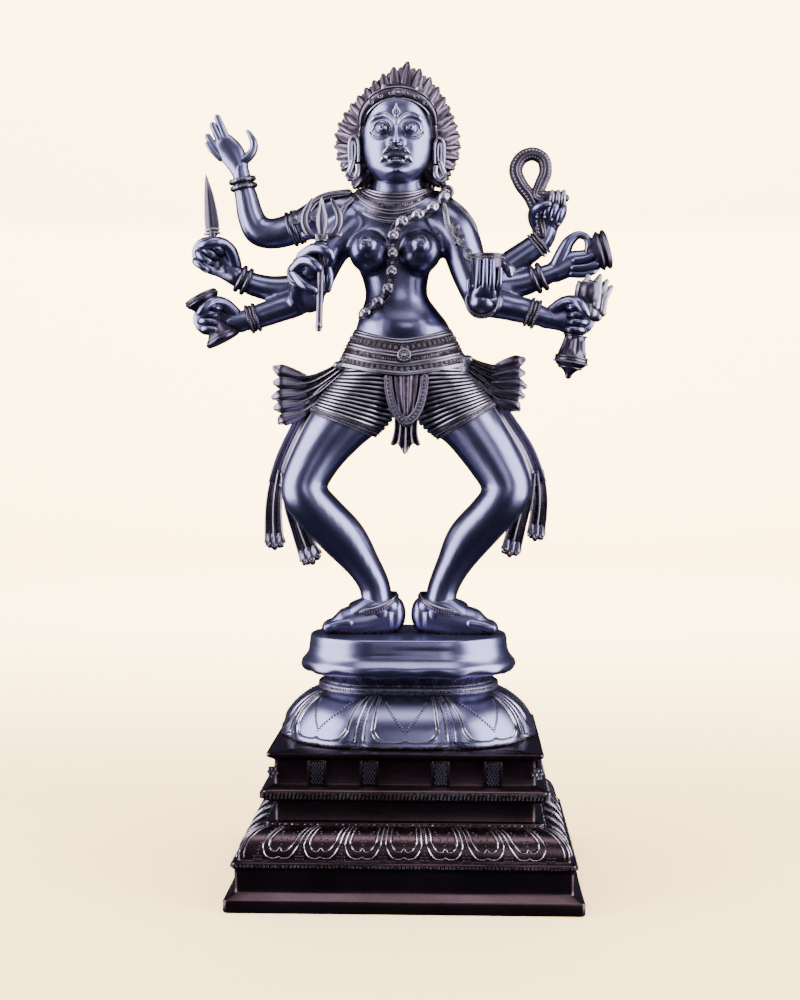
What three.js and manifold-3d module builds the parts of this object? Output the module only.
// A cast goddess with eight arms, dancing with bent knees on an oval foot plate.
// The plate sits on an oval lotus seat, and the seat on a stepped rectangular base.
// Sizes are in millimetres. +Z is up, the figure faces -Y and the picture's right hand is +X.
// The origin is the centre of the base's underside.

import * as THREE from "three";
import { mergeVertices } from "three/addons/utils/BufferGeometryUtils.js";
import Module from "manifold-3d";

const wasm = await Module();
wasm.setup();
const { Manifold, Mesh } = wasm;

// Driving sizes. Widths are half widths, and each tier takes its own from the tier above it, down from the
// figure's stance.

const castingGap = 0.3; // between two castings that rest on each other

// Figure. Its pose is drawn in units, 428 of them from the plate's top to the tip of the hair.
const figureHeight = 428;
const drawnHeight = 428;
const unit = figureHeight / drawnHeight;
const toeReach = 69 * unit; // from the middle to the tip of the longest toe
const soleSink = 1.5; // how far the soles run into the plate, so that they are one casting

// Foot plate, cast with the figure. The plans of plate and seat are two half circles joined by straights.
const ovalStraight = 24; // half the length of the straight sides
const plateMargin = 4; // round the toes
const plateHeight = 22.5;
const plateFlare = 8; // how far its worn lower lip stands out
const lipDrop = 3.2;
const lipWave = 0.9;
const lipClearance = 1.6; // between the lip and the upper lotus inside it
const plateHalfWidth = toeReach + plateMargin;
const lipHalfWidth = plateHalfWidth + plateFlare;

// Lotus seat
const upperLotusInset = 2;
const upperLotusFlare = 5;
const upperLotusHeight = 13;
const neckBandHeight = 5;
const lotusFall = 29;
const lotusHeight = 35;
const petalsRound = 8;
const petalGroove = 2.2;
const upperLotusHalfWidth = plateHalfWidth - upperLotusInset;
const neckHalfWidth = upperLotusHalfWidth - upperLotusFlare;
const lotusHalfWidth = neckHalfWidth + lotusFall;

// Stepped base, from the slab down. Every tier is less deep than wide by the same length.
const baseDepthLess = 15.5;
const baseCorner = 3;
const slabMargin = 3.5; // round the seat
const slabHeight = 6;
const slabBevel = 3;
const upperRecessInset = 5;
const upperRecessHeight = 17;
const rollProud = 8.5;
const rollHeight = 13;
const lowerRecessInset = 9;
const lowerRecessHeight = 13;
const stepInset = 3;
const stepHeight = 3;
const petalTierFall = 20;
const petalTierHeight = 20;
const petalTierLip = 2;
const beadStripProud = 1.5;
const beadStripHeight = 6;
const bandHeight = 16;
const plinthProud = 7;
const plinthHeight = 13;
const plinthBevel = 4;
const footChamfer = 1;
const slabHalfWidth = lotusHalfWidth + slabMargin;
const upperRecessHalfWidth = slabHalfWidth - upperRecessInset;
const rollHalfWidth = upperRecessHalfWidth + rollProud;
const lowerRecessHalfWidth = rollHalfWidth - lowerRecessInset;
const stepHalfWidth = rollHalfWidth - stepInset;
const bandHalfWidth = stepHalfWidth + petalTierFall;
const plinthHalfWidth = bandHalfWidth + plinthProud;
const pilasterWidth = 13;
const pilasterProud = 3;
const pilastersAcross = 4;
const pilastersDeep = 2;
const cornerStudRadius = 4.5;

// Solids

const Y = new THREE.Vector3(0, 1, 0);
const Z = new THREE.Vector3(0, 0, 1);
const v = (x, y, z) => new THREE.Vector3(x, y, z);

// A three.js geometry as a manifold solid, with its faces turned outwards.
function solid(geometry) {
  const bare = geometry.index ? geometry.toNonIndexed() : geometry.clone();
  for (const name of ["normal", "uv"]) bare.deleteAttribute(name);
  const merged = mergeVertices(bare, 1e-4);
  const triVerts = new Uint32Array(merged.index.array);
  const vertProperties = merged.attributes.position.array;
  const made = new Manifold(new Mesh({ numProp: 3, vertProperties, triVerts }));
  if (made.volume() > 0) return made;
  return new Manifold(new Mesh({ numProp: 3, vertProperties, triVerts: triVerts.reverse() }));
}

// A closed solid through rings of equal length. Each end closes on a point, by default the ring's centre.
function loft(rings, startPoint, endPoint) {
  const centreOf = (ring) => ring.reduce((sum, p) => sum.add(p), v(0, 0, 0)).divideScalar(ring.length);
  const count = rings[0].length;
  const points = [...rings.flat(), startPoint ?? centreOf(rings[0]), endPoint ?? centreOf(rings.at(-1))];
  const first = points.length - 2;
  const last = points.length - 1;
  const topRing = (rings.length - 1) * count;
  const index = [];
  for (let i = 0; i < count; i++) {
    const next = (i + 1) % count;
    index.push(first, next, i, last, topRing + i, topRing + next);
    for (let row = 0; row < topRing; row += count) {
      index.push(row + i, row + next, row + count + next, row + i, row + count + next, row + count + i);
    }
  }
  return solid(new THREE.BufferGeometry().setFromPoints(points).setIndex(index));
}

// A smooth limb through stations [x, y, z, half width, half depth]. Depth is measured along `deep`.
// Each of `rows` is a place along the limb, from 0 to 1, and how far the surface stands out there.
// `tip` is how far each end's point lies beyond the end, as a share of its half width.
function limb(stations, { sides = 8, deep = Y, tip = 0.5, rows } = {}) {
  const centre = new THREE.CatmullRomCurve3(stations.map(([x, y, z]) => v(x, y, z)));
  const size = new THREE.CatmullRomCurve3(stations.map(([, , , w, d = w]) => v(w, d, 0)));
  const evenRows = stations.map((_, i) => [i / (stations.length - 1), 0]);
  const rings = (rows ?? evenRows).map(([t, out]) => {
    const middle = centre.getPoint(t);
    const along = centre.getTangent(t);
    const side = v(0, 0, 0).crossVectors(along, deep).normalize();
    const front = v(0, 0, 0).crossVectors(side, along);
    const { x: w, y: d } = size.getPoint(t);
    return Array.from({ length: sides }, (_, i) => {
      const angle = (i / sides) * 2 * Math.PI;
      return middle
        .clone()
        .addScaledVector(side, (w + out) * Math.cos(angle))
        .addScaledVector(front, (d + out) * Math.sin(angle));
    });
  });
  const [first, end] = [stations[0], stations.at(-1)];
  return loft(
    rings,
    centre.getPoint(0).addScaledVector(centre.getTangent(0), -tip * first[3]),
    centre.getPoint(1).addScaledVector(centre.getTangent(1), tip * end[3]),
  );
}

// An ellipsoid from its centre and three radii.
function ball([x, y, z], rx, ry = rx, rz = rx, detail = 1) {
  return solid(new THREE.IcosahedronGeometry(1, detail).scale(rx, ry, rz).translate(x, y, z));
}

const join = (...solids) => Manifold.union(solids.flat(Infinity));

// A turned shape: profile [radius, height] pairs from the axis back to the axis, set on `foot` along `axis`.
function turnedShape(profile, foot, axis, segments = 10) {
  const shape = new THREE.LatheGeometry(profile.map(([r, h]) => new THREE.Vector2(r, h)), segments);
  const turn = new THREE.Quaternion().setFromUnitVectors(Y, axis.clone().normalize());
  return solid(shape.applyQuaternion(turn).translate(foot.x, foot.y, foot.z));
}

// Stepped base

// One level of the base: a rectangle with rounded corners, at a half width and a height.
function baseRing(halfWidth, z) {
  const halfDepth = halfWidth - baseDepthLess;
  const cornerSteps = 1;
  const ring = [];
  for (const [sx, sy, start] of [[1, 1, 0], [-1, 1, 1], [-1, -1, 2], [1, -1, 3]]) {
    for (let i = 0; i <= cornerSteps; i++) {
      const angle = ((start + i / cornerSteps) * Math.PI) / 2;
      const x = sx * (halfWidth - baseCorner) + baseCorner * Math.cos(angle);
      const y = sy * (halfDepth - baseCorner) + baseCorner * Math.sin(angle);
      ring.push(v(x, y, z));
    }
  }
  return ring;
}

// Heights of the base's tiers, one on another.
const plinthTop = plinthHeight;
const bandTop = plinthTop + bandHeight;
const beadStripTop = bandTop + beadStripHeight;
const petalTierTop = beadStripTop + petalTierHeight;
const stepTop = petalTierTop + stepHeight;
const lowerRecessTop = stepTop + lowerRecessHeight;
const rollTop = lowerRecessTop + rollHeight;
const upperRecessTop = rollTop + upperRecessHeight;
const slabTop = upperRecessTop + slabHeight;

function baseLevels() {
  const quarterRound = [0, 0.35, 0.7, 1].map((share) => (share * Math.PI) / 2);
  const petalRise = petalTierHeight - petalTierLip;
  const petalReach = petalTierFall - petalTierLip;
  return [
    [plinthHalfWidth - footChamfer, 0],
    [plinthHalfWidth, footChamfer],
    [plinthHalfWidth, plinthTop - plinthBevel],
    [bandHalfWidth, plinthTop],
    [bandHalfWidth, bandTop],
    [bandHalfWidth + beadStripProud, bandTop + beadStripHeight / 6],
    [bandHalfWidth + beadStripProud, beadStripTop - beadStripHeight / 6],
    [bandHalfWidth - petalTierLip, beadStripTop],
    // The petal tier swells out and curls in to the step above it.
    ...quarterRound.map((angle) => [
      stepHalfWidth + petalReach * Math.cos(angle),
      beadStripTop + petalTierLip + petalRise * Math.sin(angle),
    ]),
    [stepHalfWidth, stepTop],
    [lowerRecessHalfWidth, stepTop],
    [lowerRecessHalfWidth, lowerRecessTop],
    [rollHalfWidth, lowerRecessTop + rollHeight / 3],
    [rollHalfWidth, rollTop - rollHeight / 3],
    [upperRecessHalfWidth, rollTop],
    [upperRecessHalfWidth, upperRecessTop],
    [slabHalfWidth, upperRecessTop + slabBevel],
    [slabHalfWidth, slabTop],
  ];
}

// Pilasters stand in the upper recess, evenly spaced on each side, with a stud at each corner.
function pilasters() {
  const deep = upperRecessHalfWidth - baseDepthLess;
  const height = upperRecessHeight + 1; // a little into the tiers above and below
  const middle = rollTop + upperRecessHeight / 2;
  const reach = 0.86; // share of a side that the pilasters' row takes
  const post = (x, y, alongX) => {
    const [w, d] = alongX ? [pilasterWidth, 2 * pilasterProud] : [2 * pilasterProud, pilasterWidth];
    return solid(new THREE.BoxGeometry(w, d, height).translate(x, y, middle));
  };
  const spread = (count, half) =>
    Array.from({ length: count }, (_, i) => ((i + 0.5) / count - 0.5) * 2 * half * reach);
  const made = [];
  for (const side of [-1, 1]) {
    for (const x of spread(pilastersAcross, upperRecessHalfWidth)) made.push(post(x, side * deep, true));
    for (const y of spread(pilastersDeep, deep)) made.push(post(side * upperRecessHalfWidth, y, false));
    for (const end of [-1, 1]) {
      const corner = [side * (upperRecessHalfWidth - 1), end * (deep - 1), middle];
      made.push(ball(corner, cornerStudRadius, cornerStudRadius, upperRecessHeight * 0.4, 0));
    }
  }
  return made;
}

function steppedBase() {
  return join(loft(baseLevels().map(([half, z]) => baseRing(half, z))), pilasters());
}

// Lotus seat

// One level of the seat: an oval with straight sides. `push` moves each point outwards by a length that
// depends on where it is round the oval, from 0 to 1, starting at the middle of the front.
function ovalRing(halfWidth, z, push = () => 0, count = 32, rise = () => 0) {
  const radius = halfWidth - ovalStraight;
  const around = 2 * Math.PI * radius + 4 * ovalStraight;
  return Array.from({ length: count }, (_, i) => {
    const share = i / count;
    let left = share * around - ovalStraight;
    let centreX = ovalStraight;
    let angle = -Math.PI / 2;
    if (left <= 0) {
      centreX = ovalStraight + left;
    } else if (left <= Math.PI * radius) {
      angle += left / radius;
    } else if ((left -= Math.PI * radius) <= 2 * ovalStraight) {
      angle = Math.PI / 2;
      centreX = ovalStraight - left;
    } else if ((left -= 2 * ovalStraight) <= Math.PI * radius) {
      angle = Math.PI / 2 + left / radius;
      centreX = -ovalStraight;
    } else {
      centreX = left - Math.PI * radius - ovalStraight;
    }
    const reach = radius + push(share);
    return v(centreX + reach * Math.cos(angle), reach * Math.sin(angle), z + rise(share));
  });
}

const lotusFoot = slabTop + castingGap;
const lotusTop = lotusFoot + lotusHeight;
const neckTop = lotusTop + neckBandHeight;
const seatTop = neckTop + upperLotusHeight;

// The lower lotus falls outwards in broad petals with a groove between each two.
function lotusSeat() {
  const levels = [
    [0.96, 0, 0.4],
    [1, 0.06, 1],
    [0.97, 0.2, 1],
    [0.86, 0.45, 1],
    [0.66, 0.68, 0.9],
    [0.36, 0.88, 0.6],
    [0.1, 0.98, 0],
  ];
  const valley = (depth) => (share) => {
    const place = (share * petalsRound) % 1; // 0 in the middle of a petal
    const fromEdge = Math.abs(place - 0.5) * 2;
    return -depth * petalGroove * Math.max(0, 1 - fromEdge * 3.2);
  };
  return loft([
    ...levels.map(([out, up, depth]) =>
      ovalRing(neckHalfWidth + lotusFall * out, lotusFoot + lotusHeight * up, valley(depth))),
    ovalRing(neckHalfWidth, lotusTop),
    ovalRing(neckHalfWidth + 1, lotusTop + 1),
    ovalRing(neckHalfWidth + 1, neckTop - 1),
    ovalRing(neckHalfWidth - 3, neckTop),
    ovalRing(neckHalfWidth - 2, neckTop + 3),
    ovalRing(upperLotusHalfWidth, seatTop),
  ]);
}

// Foot plate

const plateUnderside = seatTop + castingGap;
const plateTop = plateUnderside + plateHeight;

// The worn lower lip hangs a little below the plate's underside, outside the seat's top.
function footPlate() {
  const turns = (share, count) => Math.sin(share * count * 2 * Math.PI + 1);
  const wave = (share) => lipWave * (0.5 * turns(share, 9) + turns(share, 5));
  const inner = upperLotusHalfWidth + lipClearance;
  const round = (half, z, rise) => ovalRing(half, z, undefined, 28, rise);
  return loft([
    round(inner, plateUnderside),
    round(inner + 0.5, plateUnderside - lipDrop, wave),
    round(lipHalfWidth - 2, plateUnderside - lipDrop, wave),
    round(lipHalfWidth, plateUnderside + plateHeight * 0.08),
    round(plateHalfWidth + plateFlare * 0.3, plateUnderside + plateHeight * 0.42),
    round(plateHalfWidth, plateTop - 0.8),
    round(plateHalfWidth - 0.8, plateTop),
  ]);
}

// Figure. Every point is in drawn units above the plate's top, with the soles a little below it.

// The trunk from the crotch to the top of the neck, with three belts round the hips and a stepped collar.
// Each row is [x, y, z, half width, half depth, rise at the sides, lean]. The lean lowers the front.
const belts = [0, 1, 2].flatMap((belt) => {
  const z = 194 + belt * 8.6;
  const w = 49.5 - belt * 5.6;
  const d = 26 - belt * 1.8;
  return [
    [-3, 1, z, w, d, 7, 0],
    [-3, 1, z + 1.2, w + 1.6, d + 1.6, 7.2, 0],
    [-3, 1, z + 7.4, w - 3, d + 1, 7.8, 0],
  ];
});
const trunkRows = [
  [-1, 2, 176, 28, 16, 0, 0],
  [-2, 2, 187, 47, 24, 4, 0],
  ...belts,
  [-4, 1, 219, 36, 21, 8, 0],
  [-4.8, 0, 230, 34, 20, 4, 0],
  [-7, 0, 242, 28, 17, 1, 0],
  [-8.8, 0, 253, 23.4, 15.5, 0, 0],
  [-9.8, 0, 266, 26, 17, 0, 0],
  [-10.8, 0, 281, 32, 19, 0, 0],
  [-11.2, 1, 296, 40, 20, 0, 0],
  [-10, 2, 305, 45, 18, 0, 0],
  [-8, 1, 313, 41, 20, 6, 6],
  [-7.5, 1, 318, 34.5, 21, 7, 8],
  [-7, 1, 321, 28, 19.5, 6, 7],
  [-7, 1, 323, 26, 19, 5, 6],
  [-7, 1, 329, 21.5, 17, 2, 4],
  [-7.5, 1, 330, 19.5, 15.5, 0, 3],
  [-7.5, 1, 343, 19.5, 15.5, 0, 0],
];

function trunk() {
  const sides = 12;
  const rings = trunkRows.map(([x, y, z, w, d, rise, lean]) =>
    Array.from({ length: sides }, (_, i) => {
      const angle = ((i + 0.5) / sides) * 2 * Math.PI;
      const [across, deep] = [Math.cos(angle), Math.sin(angle)];
      return v(x + w * across, y + d * deep, z + rise * across ** 2 + lean * deep);
    }));
  const breast = (x) =>
    limb(
      [[x, -8, 283, 15], [x, -18, 284, 15.6], [x, -26, 285.5, 12.4], [x, -31, 287, 6]],
      { sides: 9, deep: Z, tip: 0.2 },
    );
  return [loft(rings), breast(-28.6), breast(9.4)];
}

function head() {
  const skull = limb(
    [
      [-7.5, -7, 336, 14, 15],
      [-7.5, -6, 343, 20.5, 20],
      [-7.6, -4, 353, 25.2, 24],
      [-7.6, -3, 366, 26.7, 25],
      [-7.6, -2, 382, 27, 25],
      [-7.6, 0, 397, 24, 24],
      [-7.6, 3, 408, 14, 16],
    ],
    { sides: 13, tip: 0.3 },
  );
  const nose = limb([[-8, -27, 379, 2, 3], [-8, -30, 369, 2.6, 4], [-8, -31, 360, 5, 5]], { sides: 5 });
  const eyes = [-19.4, 3.4].map((x) =>
    limb([[x, -19, 372.8, 6.4, 5], [x, -26, 372.8, 4.6, 3.8]], { sides: 8, deep: Z }));
  const lips = limb([[-19, -23.5, 351, 2], [-8.5, -26.5, 353, 3, 4], [2, -23.5, 351, 2]], { deep: Z, sides: 6 });
  const ears = [[-38.5, -44], [20.6, 26.5]].map(([x, lobe]) =>
    limb([[x, 0, 368, 2.6, 4], [x, -2, 360, 4.4, 6], [x, -2, 350, 4, 5], [lobe, 0, 339, 4, 4]], { sides: 6 }));
  const brow = [[3, -27, 378], [13, -24.5, 383], [23.5, -14.5, 378.5]]; // from the nose out to the temple
  const brows = [-1, 1].map((side) =>
    limb(brow.map(([out, y, z]) => [-7.7 + side * out, y, z, 1.7]), { sides: 4 }));
  const crownBand = Array.from({ length: 7 }, (_, i) => {
    const angle = ((6 + i * 28) * Math.PI) / 180;
    const [across, up] = [Math.cos(angle), Math.sin(angle)];
    return [-7.6 - 27.5 * across, -6 - 11 * up, 371 + 29 * up, 2.6 + 3 * up, 4];
  });
  return [skull, nose, eyes, brows, lips, ears, limb(crownBand, { sides: 4 })];
}

// Hair that stands up round the head like flames: one thick fan whose rim is cut into locks. Below the
// ears it closes straight across behind the neck.
const lockCount = 25;
const lockFrom = -37; // degrees, from the picture's right
const lockTo = 217;
const hairReach = 48;
const crestReach = 14; // how much longer the locks above the crown are
const crestAngle = 83; // degrees
const crestSpread = 38; // degrees to each side
const napeDrop = 33.5; // from the fan's centre down to its straight lower edge
const lockCut = [[0, 0], [0.36, 0.9], [0.66, 1]]; // places across a lock, and how far out the rim is there

function hair() {
  const centre = v(-8.6, 8, 367);
  const pitch = (lockTo - lockFrom) / lockCount;
  const locks = Array.from({ length: lockCount }, (_, lock) =>
    lockCut.map(([place, out]) => {
      const degrees = lockFrom + (lock + (lockFrom + lock * pitch < 90 ? 1 - place : place)) * pitch;
      return { degrees, out };
    }));
  const nape = [226, 270, 314].map((degrees) => {
    const reach = napeDrop / Math.abs(Math.sin((degrees * Math.PI) / 180));
    return { degrees, out: 1, most: reach / hairReach };
  });
  const columns = [...locks.flat(), ...nape].sort((one, other) => one.degrees - other.degrees);
  const layers = [
    { y: -9, root: 0.6, tip: 0.6, groove: 0 },
    { y: -7, root: 0.84, tip: 0.9, groove: 3 },
    { y: 0, root: 0.9, tip: 1, groove: 2 },
    { y: 9, root: 0.8, tip: 0.88, groove: -2 },
  ];
  const rings = layers.map(({ y, root, tip, groove }) =>
    columns.map(({ degrees, out, most = 1 }) => {
      const angle = (degrees * Math.PI) / 180;
      const crest = Math.max(0, 1 - Math.abs(degrees - crestAngle) / crestSpread);
      const reach = (hairReach + crestReach * crest) * Math.min(root + (tip - root) * out, most);
      const place = v(reach * Math.cos(angle), y + groove * (1 - out), reach * Math.sin(angle));
      return place.add(centre);
    }));
  return loft(rings, centre, v(centre.x, centre.y + 19, centre.z));
}

// Legs, bent outwards at the knee, with pleated breeches to the hem and the feet turned out along the plate.
const leftLeg = [
  [-20, 1, 192, 24, 22],
  [-35, 0, 173, 24.5, 22],
  [-52, -3, 155.5, 22.8, 21.5],
  [-68, -6, 134.5, 18.8, 19.5],
  [-78.3, -9, 110.5, 17, 18.5],
  [-64.5, -7, 89, 17.6, 18],
  [-47.7, -3, 71, 17.2, 17],
  [-32, -1, 49, 12.4, 13],
  [-23.8, 0, 31, 11.2, 11.5],
  [-17, 0, 14, 11.5, 11],
];
const rightLeg = [
  [14, 1, 192, 24, 22],
  [28, 0, 174, 24.5, 22],
  [45.3, -3, 157, 22.6, 21.5],
  [61.8, -6, 135, 20.6, 20],
  [73.6, -9, 111, 18.4, 19],
  [60.8, -7, 88.5, 16.6, 18],
  [44.6, -3, 70, 16.6, 17],
  [31.4, -1, 47, 12.2, 13],
  [23.8, 0, 31, 11.2, 11.5],
  [17, 0, 14, 11.5, 11],
];
const pleatCount = 6;
const pleatProud = 1.9;
const hemPlace = 2.05; // stations down the leg
const ankletProud = 3;

function leg(stations) {
  const last = stations.length - 1;
  const rows = Array.from({ length: 2 * pleatCount + 1 }, (_, i) => [
    0.5 + ((hemPlace - 0.5) * i) / (2 * pleatCount),
    i % 2 ? pleatProud : 0.5,
  ]);
  rows.push([hemPlace + 0.14, pleatProud], [hemPlace + 0.17, 0]);
  for (let place = 3; place < last; place += 1) rows.push([place, 0]);
  rows.push([last - 0.55, 0], [last - 0.35, ankletProud], [last, 0]);
  return limb(stations, { sides: 9, rows: [[0, 0], ...rows].map(([place, out]) => [place / last, out]) });
}

// A foot from the heel to the toes, with its top ridged where the toes part.
function foot(heelX, toeX) {
  const at = (share, y, z, w, d, ridge) => [heelX + (toeX - heelX) * share, y, z, w, d, ridge];
  const stations = [
    at(0.02, -1, 6, 7, 10, 0),
    at(0.2, -2, 7, 10, 13, 0),
    at(0.5, -3.5, 5, 11.5, 12, 0),
    at(0.72, -4.5, 3, 11.5, 6.5, 0.3),
    at(0.96, -5, 1, 10.5, 4, 1),
  ];
  const toes = toeX < heelX ? [0, 1, 2, 3, 4.5] : [4.5, 3, 2, 1, 0];
  return ribbon(stations, 5, toes, Z);
}

function legs() {
  return [leg(leftLeg), leg(rightLeg), foot(-2.5, -64), foot(2, 66.5)];
}

// The breeches' front: a hanging loop, a flap with a three-pointed end behind it, and the belt's clasp.
function breechesFront() {
  const loop = limb(
    [[-17, -22, 186, 3], [-15.5, -25, 169, 3], [-1, -27, 156.5, 3.2], [13.5, -25, 169, 3], [15, -22, 186, 3]],
    { sides: 6 },
  );
  const flap = ribbon(
    [[-1, -18, 190, 11, 7], [-1, -21, 162, 9, 5], [-1, -20, 150, 6.5, 4.5], [-1, -20, 138, 10, 4]],
    3, 4,
  );
  const clasp = ball([-2.3, -24, 206], 6, 5, 6, 1);
  return [loop, flap, clasp];
}

// A flat ribbon through stations [x, y, z, half width, half depth, ridge], with `folds` ridges on the side
// that `out` points to. The ridge, from 0 to 1, is how deep the dips between the folds are there. `ragged` is
// how far each fold's end reaches beyond the dips: one length for all or a list with one for each fold.
function ribbon(stations, folds, ragged, out = v(0, -1, 0)) {
  const centre = new THREE.CatmullRomCurve3(stations.map(([x, y, z]) => v(x, y, z)));
  const last = stations.length - 1;
  const reach = Array.isArray(ragged) ? ragged : Array(folds).fill(ragged);
  const rings = stations.map(([x, y, z, w, d, ridge = 1], i) => {
    const along = centre.getTangent(i / last);
    const side = v(0, 0, 0).crossVectors(out, along).normalize();
    const front = v(0, 0, 0).crossVectors(along, side);
    const at = (across, lift, ahead) =>
      v(x, y, z)
        .addScaledVector(side, w * across)
        .addScaledVector(front, d * lift)
        .addScaledVector(along, ahead);
    const faces = Array.from({ length: 2 * folds + 1 }, (_, k) => {
      const inDip = k % 2 === 0;
      const across = -1 + k / folds;
      const dome = 1 - 0.5 * across ** 2;
      const end = i === last && !inDip ? reach[(k - 1) / 2] : 0;
      return at(across, inDip ? dome * (1 - 0.8 * ridge) : dome, end);
    });
    return [...faces, at(0.85, -0.7, 0), at(-0.85, -0.7, 0)];
  });
  return loft(rings);
}

// At each hip a knotted sash flares out in a fan, and its long end falls behind the leg and parts in two.
const sashRuns = [
  {
    folds: 4,
    ragged: 6,
    run: [[-50, 3, 199, 5, 4], [-66, 6, 187, 8.5, 5], [-84, 8, 180.5, 13.5, 5.5], [-97, 9, 179.5, 19, 6]],
  },
  {
    folds: 4,
    ragged: 6,
    run: [[42, 3, 206, 5, 4], [56, 6, 194, 8.5, 5], [70, 8, 188, 12.5, 5.5], [82.5, 9, 186, 17, 6]],
  },
  {
    folds: 2,
    ragged: 0,
    run: [[-60, 7, 186, 7, 4], [-78.5, 10, 160, 8.5, 4], [-92, 13, 133, 9, 4], [-99, 15, 110, 10, 4.5]],
  },
  {
    folds: 2,
    ragged: 5,
    run: [[-100, 15, 116, 6, 4], [-103.5, 16, 90, 7, 4.5], [-103, 16, 66, 8, 5]],
  },
  {
    folds: 2,
    ragged: 5,
    run: [[-94, 14, 112, 6, 4], [-90, 13, 88, 6.5, 4], [-80.5, 12, 67, 7.5, 4.5], [-73, 12, 54, 9.5, 5.5]],
  },
  {
    folds: 2,
    ragged: 0,
    run: [[52, 7, 188, 7, 4], [70, 9, 160, 8.5, 4], [86, 12, 136, 9, 4], [95, 14, 112, 9.5, 4.5]],
  },
  {
    folds: 2,
    ragged: 5,
    run: [[97, 14, 118, 6, 4], [99.5, 15, 92, 6.5, 4.5], [96.5, 16, 72, 7, 5]],
  },
  {
    folds: 2,
    ragged: 5,
    run: [[91, 13, 114, 6, 4], [87, 13, 91, 6, 4], [80, 12, 74, 7, 4.5], [77, 12, 60, 7, 5.5]],
  },
];

const sashes = () => sashRuns.map(({ run, folds, ragged }) => ribbon(run, folds, ragged));

// Hands. A hand is drawn from its wrist in three directions: forwards along the fingers, sideways towards
// the thumb, and out of the palm.
function handAt(wrist, forwards, thumbwards, isRightHand) {
  const f = forwards.clone().normalize();
  const t = thumbwards.clone().addScaledVector(f, -thumbwards.dot(f)).normalize();
  const n = isRightHand ? v(0, 0, 0).crossVectors(t, f) : v(0, 0, 0).crossVectors(f, t);
  const at = (ahead, aside, out) =>
    wrist.clone().addScaledVector(f, ahead).addScaledVector(t, aside).addScaledVector(n, out);
  return { f, t, n, at };
}

const strand = (points, radii, deep, sides = 5) =>
  limb(points.map((p, i) => [p.x, p.y, p.z, radii[i]]), { sides, deep, tip: 0.7 });

// A hand with its fingers side by side. `bend` is how far the fingertips lean out of the palm, and `lengths`
// how far each finger, from the little one, reaches beyond the shortest.
function openHand(hand, bend, lengths, thumbRun) {
  const station = (ahead, out, w, d, ridge) => {
    const p = hand.at(ahead, 0, out);
    return [p.x, p.y, p.z, w, d, ridge];
  };
  const stations = [
    station(-2, 0, 5, 4.5, 0),
    station(9, 0, 8.5, 5, 0),
    station(19, 0, 9.5, 4.2, 0.4),
    station(28, bend * 0.4, 9, 3.4, 1),
    station(36, bend, 7.5, 2.4, 1),
  ];
  const thumb = thumbRun.map(([ahead, aside, out]) => hand.at(ahead, aside, out));
  return [ribbon(stations, 4, lengths, hand.n), strand(thumb, [3.6, 3.8, 3, 1.6], hand.n)];
}

// A hand closed round a shaft that runs towards the thumb: the thumb and four rolled fingers side by side,
// drawn in to the wrist behind them.
const gripReach = 17;
const gripOut = 6;
const fistHalfWidth = 10;
const fistRadius = 8;

function fist(hand) {
  const { f, n, at } = hand;
  const creases = 10; // two for each finger
  const rings = Array.from({ length: creases + 1 }, (_, i) => {
    const aside = fistHalfWidth * (1 - (2 * i) / creases);
    const crease = i % 2 ? 1.06 : 0.86;
    return Array.from({ length: 6 }, (_, k) => {
      const angle = (k / 6) * 2 * Math.PI;
      const atWrist = k === 3;
      return at(gripReach, aside * (atWrist ? 0.6 : 1), gripOut - (atWrist ? 4 : 0))
        .addScaledVector(f, fistRadius * Math.cos(angle) * (atWrist ? 2 : crease))
        .addScaledVector(n, fistRadius * crease * Math.sin(angle));
    });
  });
  return loft(rings);
}

// An arm through its shoulder, elbow and wrist. A band is [place, half length, rise], with its place
// counted in stations from the shoulder.
function arm(stations, bands) {
  const last = stations.length - 1;
  const inBand = (place) => bands.some(([middle, half]) => Math.abs(place - middle) <= half);
  const rows = stations.map((_, i) => [i, 0]).filter(([place]) => !inBand(place));
  for (const [middle, half, rise] of bands) {
    rows.push([middle - half, 0], [middle, rise], [middle + half, 0]);
  }
  rows.sort(([a], [b]) => a - b);
  return limb(stations, { sides: 7, rows: rows.map(([place, out]) => [place / last, out]) });
}

// The three lower arms on the picture's left share one broad upper arm, and so do the four on its right.
function upperArms() {
  const left = [[-38, 2, 299, 13, 16], [-56, 1, 276, 12, 19], [-76, 0, 254, 12.5, 21]];
  const right = [[20, 0, 311, 14, 16], [36, 0, 297, 13.5, 18], [46, -1, 273, 12.5, 20], [54.5, -3, 252, 13, 20]];
  return [arm(left, [[1.2, 0.25, 1.6]]), arm(right, [[1.7, 0.25, 1.6]])];
}

function raisedArm() {
  const hand = handAt(v(-126, 4, 347), v(-0.5, 0, 0.87), v(0.87, 0.3, 0.5), true);
  return [
    arm(
      [[-34, 3, 312, 14, 14], [-58, 4, 312.5, 13, 13.5], [-82, 5, 305.5, 12, 12.5], [-101, 7, 301, 12],
        [-114, 8, 301, 11.5], [-118, 7.5, 313, 10], [-122, 6, 326, 9], [-126, 4, 348, 5]],
      [[2.9, 0.2, 2], [6.6, 0.28, 3.4]],
    ),
    openHand(hand, -2, [9, 7, 3, 0], [[2, 4, 0], [9, 12, 0], [17, 17, 1], [27, 17, 1]]),
  ];
}

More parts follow.
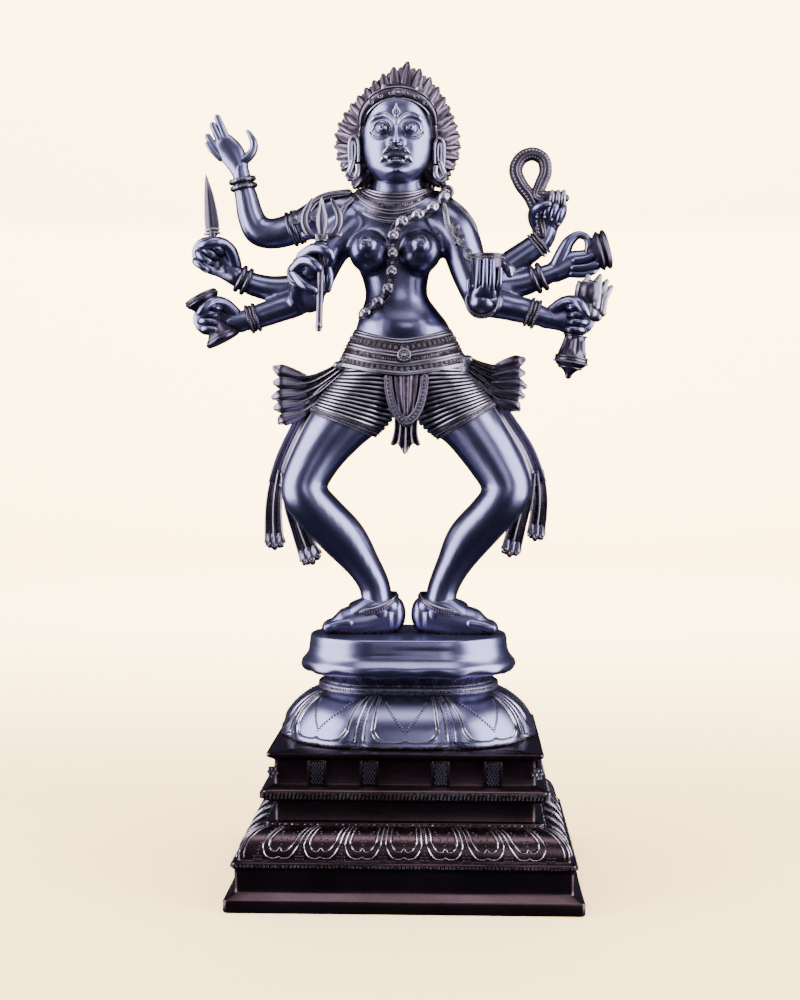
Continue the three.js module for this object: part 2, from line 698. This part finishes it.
function daggerArm() {
  const hand = handAt(v(-133, 3.5, 270), v(-0.75, 0, 0.66), v(0.3, -0.1, 0.95), true);
  const blade = limb(
    [[-146, -3, 284, 5, 2.4], [-147, -3, 304, 5.6, 2], [-149, -3, 324, 4.4, 1.8], [-151.4, -3, 343, 0.9, 0.8]],
    { sides: 4 },
  );
  const guard = turnedShape([[0, -3], [6.5, -2], [6.5, 2], [0, 3]], v(-147, -3, 302), v(-0.1, 0, 1), 8);
  const stations = [[-72, 6, 258, 11, 11], [-96, 9, 259.7, 9.8], [-113, 7, 261, 9.5], [-138, 2, 275, 8.5]];
  return [
    arm(stations, [[2.62, 0.2, 2.2]]),
    fist(hand),
    blade,
    guard,
  ];
}

function drumArm() {
  const hand = handAt(v(-128, -2, 233), v(-1, 0, 0.06), v(-0.4, 0.05, 0.9), true);
  const drum = turnedShape(
    [[0, -18], [13, -18], [13.5, -15.5], [6, -6], [5, 5], [12, 8], [11.5, 21], [0, 22]],
    v(-147.4, -8, 234.5), v(-0.46, 0, 0.88), 8,
  );
  const stations = [[-72, 0, 252, 11.5, 12], [-96.5, 0, 244, 9.5], [-112, -1, 237, 9], [-134, -3, 232.5, 8.5]];
  return [
    arm(stations, [[2.35, 0.24, 2.4]]),
    fist(hand),
    drum,
  ];
}

function tridentArm() {
  const hand = handAt(v(-78, -39, 271), v(0.75, -0.5, 0.45), v(-0.2, -0.1, 1), true);
  const prong = (side) => limb(
    [[-60.5, -52, 291, 2.4], [-60.5 + side * 9, -52, 293.5, 2.4], [-60.5 + side * 12, -52, 305, 2.4],
      [-60.5 + side * 8, -52, 318, 1]],
    { sides: 4 },
  );
  return [
    arm([[-75, -8, 252, 12.5], [-77, -22, 257, 11.5], [-76, -42, 270, 9.5]], [[1.45, 0.3, 1.6]]),
    fist(hand),
    limb([[-62.6, -50, 226, 2.7], [-60.5, -52, 288, 3.2]], { sides: 6 }),
    limb([[-60.5, -52, 285, 3.6, 3], [-60.4, -52, 304, 3.4, 2], [-60.3, -52, 318, 0.8]], { sides: 4 }),
    prong(-1),
    prong(1),
  ];
}

function snakeArm() {
  const hand = handAt(v(104, 10, 300), v(0.1, -0.3, 0.95), v(-0.95, 0.1, 0.2), false);
  const body = [
    [99, 1, 306, 4], [90.7, 3, 326.9, 4.8], [83.2, 3, 335.8, 5.2], [79.4, 3, 346.9, 5.4],
    [83.9, 3, 355.8, 5.4], [92.8, 3, 358.7, 5.4], [101, 3, 354.2, 5.4], [102, 3, 344, 5], [97.5, 2, 335, 4.6],
    [96, 0, 327, 4.4], [104, -3, 324.5, 4.2], [114, -4, 325.5, 2.4],
  ];
  const stations = [[54, 10, 262, 10.5], [74.7, 12, 276.5, 10.5], [91, 11, 287.5, 10], [106, 9, 306, 8]];
  return [
    arm(stations, [[2.6, 0.28, 1.8]]),
    fist(hand),
    limb(body.map(([x, y, z, r]) => [x, y, z, r, r * 0.8]), { sides: 5, tip: 0.7 }),
  ];
}

function bellArm() {
  const stations = [[54, 8, 256, 11, 11], [71, 7, 258, 9.6], [86, 6, 261, 9.4], [112, 3, 272, 7]];
  const ring = [[113, 2, 276, 5], [115.5, 1, 289, 4], [122, 0, 297, 3.4], [130, 0, 296, 3.2], [134, 0, 288, 3.6]];
  const fingers = [[108, 3, 270, 7, 6], [121, 2, 276.5, 8.5, 5.5], [136, 0, 277, 8.5, 6]];
  const bell = turnedShape(
    [[0, -7], [7, -5], [13, 1], [15, 3.5], [13.2, 5], [15, 6.5], [14, 9], [0, 9]],
    v(137, 0, 285), v(0.97, -0.05, 0.25), 10,
  );
  return [
    arm(stations, [[2.65, 0.2, 3]]),
    limb(ring, { sides: 6 }),
    limb(fingers, { sides: 7 }),
    bell,
  ];
}

function torchArm() {
  const hand = handAt(v(105, -6, 235.5), v(1, 0, -0.05), v(0.15, 0, 1), false);
  const torch = turnedShape(
    [[0, -44], [3.5, -40], [11.5, -33], [12, -29], [8.5, -16], [5, -6], [7, 11], [10, 19], [8, 27], [0, 28]],
    v(126, -11, 233.5), v(0.17, 0, 1), 8,
  );
  const tongue = (leanX, rise, width) => limb(
    [[133, -11, 250, width, 5], [135 + leanX * 0.55, -11, 250 + rise * 0.6, width * 0.8, 4],
      [136 + leanX, -11, 250 + rise, 1]],
    { sides: 4 },
  );
  const stations = [[54, -2, 248, 11.5], [74, -5, 243, 10.5], [87, -6, 238.5, 9.8], [112, -6, 235, 8.5]];
  return [
    arm(stations, [[2.35, 0.26, 2.4]]),
    fist(hand),
    torch,
    tongue(-6, 19, 5),
    tongue(6, 21, 5),
    tongue(17, 13, 4.5),
  ];
}

function bowlArm() {
  const hand = handAt(v(54, -43, 243), v(0.02, -0.02, 1), v(1, 0.1, 0), false);
  const bowl = turnedShape([[0, 0], [8, 1], [13, 12], [13, 18], [10, 17], [0, 8]], v(59, -34, 256), Z, 10);
  return [
    arm([[54.5, -8, 250, 13], [54.5, -24, 245.5, 12], [54.5, -44, 246, 9.5]], [[1.75, 0.2, 1.8]]),
    openHand(hand, -2, [0, 0.5, 0.5, 0], [[2, 7, 4], [8, 12, 6], [14, 15, 9], [20, 17, 12]]),
    bowl,
  ];
}

// A garland of small long skulls over one shoulder, down between the breasts and across to the waist.
const garlandRun = [
  [28, -12, 327], [21, -18, 317], [9, -21, 309], [-4, -22, 300.5], [-10.5, -23, 283], [-11.3, -20, 265],
  [-17.5, -17, 249.5], [-31, -13, 237],
];

const skullCount = 8;

function garland() {
  const rows = Array.from({ length: 2 * skullCount + 1 }, (_, i) => [i / (2 * skullCount), i % 2 ? 2.6 : 0]);
  return limb(garlandRun.map((point) => [...point, 2.2]), { sides: 4, rows });
}

// Beaded cords that fall from the picture's right shoulder over the upper arms, and their ring.
function shoulderCords() {
  return [
    limb([[24, 2, 323, 4, 7], [39, 6, 314, 4, 6], [51, 9, 300, 4, 4], [56, 10, 285, 3]], { sides: 6 }),
    ball([27, -7, 327], 5.5, 7, 5.5, 1),
  ];
}

function castFigure() {
  const leftArms = [raisedArm(), daggerArm(), drumArm(), tridentArm()];
  const rightArms = [snakeArm(), bellArm(), torchArm(), bowlArm()];
  const drawn = join(
    trunk(), head(), hair(), legs(), breechesFront(), sashes(), garland(), shoulderCords(),
    upperArms(), leftArms, rightArms,
  );
  const body = drawn.scale([unit, unit, unit]).translate([0, 0, plateTop]);
  const span = 4 * figureHeight; // wider than the figure with its arms
  const aboveSoles = new THREE.BoxGeometry(span, span, span).translate(0, 0, plateTop - soleSink + span / 2);
  return join(footPlate(), body.intersect(solid(aboveSoles)));
}

// Seams

const seamEdge = 1.6; // the shortest edge that a seam between two joined forms keeps
const mostTurn = 0.75; // cosine of the most that a face may turn when an edge closes

// Joining leaves many short edges along the seams. Each edge shorter than `seamEdge` closes to one point where
// that keeps the surface whole: its ends share just two neighbours, and no face round them turns far.
function tidySeams(points, faces) {
  const facesAt = points.map(() => new Set());
  faces.forEach((face, i) => face.forEach((corner) => facesAt[corner].add(i)));
  const neighbours = (corner) =>
    new Set([...facesAt[corner]].flatMap((i) => faces[i]).filter((other) => other !== corner));
  const normalOf = ([a, b, c]) => v(0, 0, 0).crossVectors(b.clone().sub(a), c.clone().sub(a)).normalize();
  const worstTurn = (keep, drop, place) => {
    let worst = 1;
    for (const i of new Set([...facesAt[keep], ...facesAt[drop]])) {
      if (faces[i].includes(keep) && faces[i].includes(drop)) continue;
      const before = faces[i].map((corner) => points[corner]);
      const after = faces[i].map((corner) => (corner === keep || corner === drop ? place : points[corner]));
      worst = Math.min(worst, normalOf(before).dot(normalOf(after)));
    }
    return worst;
  };
  const close = (keep, drop) => {
    const shared = [...neighbours(keep)].filter((corner) => neighbours(drop).has(corner));
    if (shared.length !== 2) return false;
    const middle = points[keep].clone().lerp(points[drop], 0.5);
    const places = [points[keep], points[drop], middle].map((place) => [worstTurn(keep, drop, place), place]);
    const [turn, place] = places.reduce((best, other) => (other[0] > best[0] ? other : best));
    if (turn < mostTurn) return false;
    points[keep] = place.clone();
    for (const i of facesAt[drop]) {
      if (faces[i].includes(keep)) {
        faces[i].forEach((corner) => corner !== drop && facesAt[corner].delete(i));
        faces[i] = null;
      } else {
        faces[i] = faces[i].map((corner) => (corner === drop ? keep : corner));
        facesAt[keep].add(i);
      }
    }
    facesAt[drop].clear();
    return true;
  };
  let closed = true;
  while (closed) {
    closed = false;
    for (let i = 0; i < faces.length; i++) {
      for (let corner = 0; corner < 3 && faces[i]; corner++) {
        const [a, b] = [faces[i][corner], faces[i][(corner + 1) % 3]];
        if (points[a].distanceTo(points[b]) < seamEdge && close(a, b)) closed = true;
      }
    }
  }
  return faces.filter(Boolean);
}

// Scene

function named(name, manifold, material) {
  const { numProp, numVert, vertProperties, triVerts } = manifold.getMesh();
  const numFace = triVerts.length / 3;
  const points = Array.from({ length: numVert }, (_, i) => v(0, 0, 0).fromArray(vertProperties, i * numProp));
  const faces = Array.from({ length: numFace }, (_, i) => [...triVerts.subarray(3 * i, 3 * i + 3)]);
  const corners = tidySeams(points, faces).flat();
  const loose = new THREE.BufferGeometry().setFromPoints(corners.map((i) => points[i]));
  const geometry = mergeVertices(loose, 1e-5);
  geometry.computeVertexNormals();
  const mesh = new THREE.Mesh(geometry, material);
  mesh.name = name;
  return mesh;
}

const polishedBronze = new THREE.MeshStandardMaterial({ color: 0x6f7089, roughness: 0.3, metalness: 1 });
const darkBronze = new THREE.MeshStandardMaterial({ color: 0x2b2733, roughness: 0.42, metalness: 1 });

const statue = new THREE.Group();
statue.add(
  named("stepped_base", steppedBase(), darkBronze),
  named("lotus_seat", lotusSeat(), polishedBronze),
  named("kali_figure", castFigure(), polishedBronze),
);

export default statue;
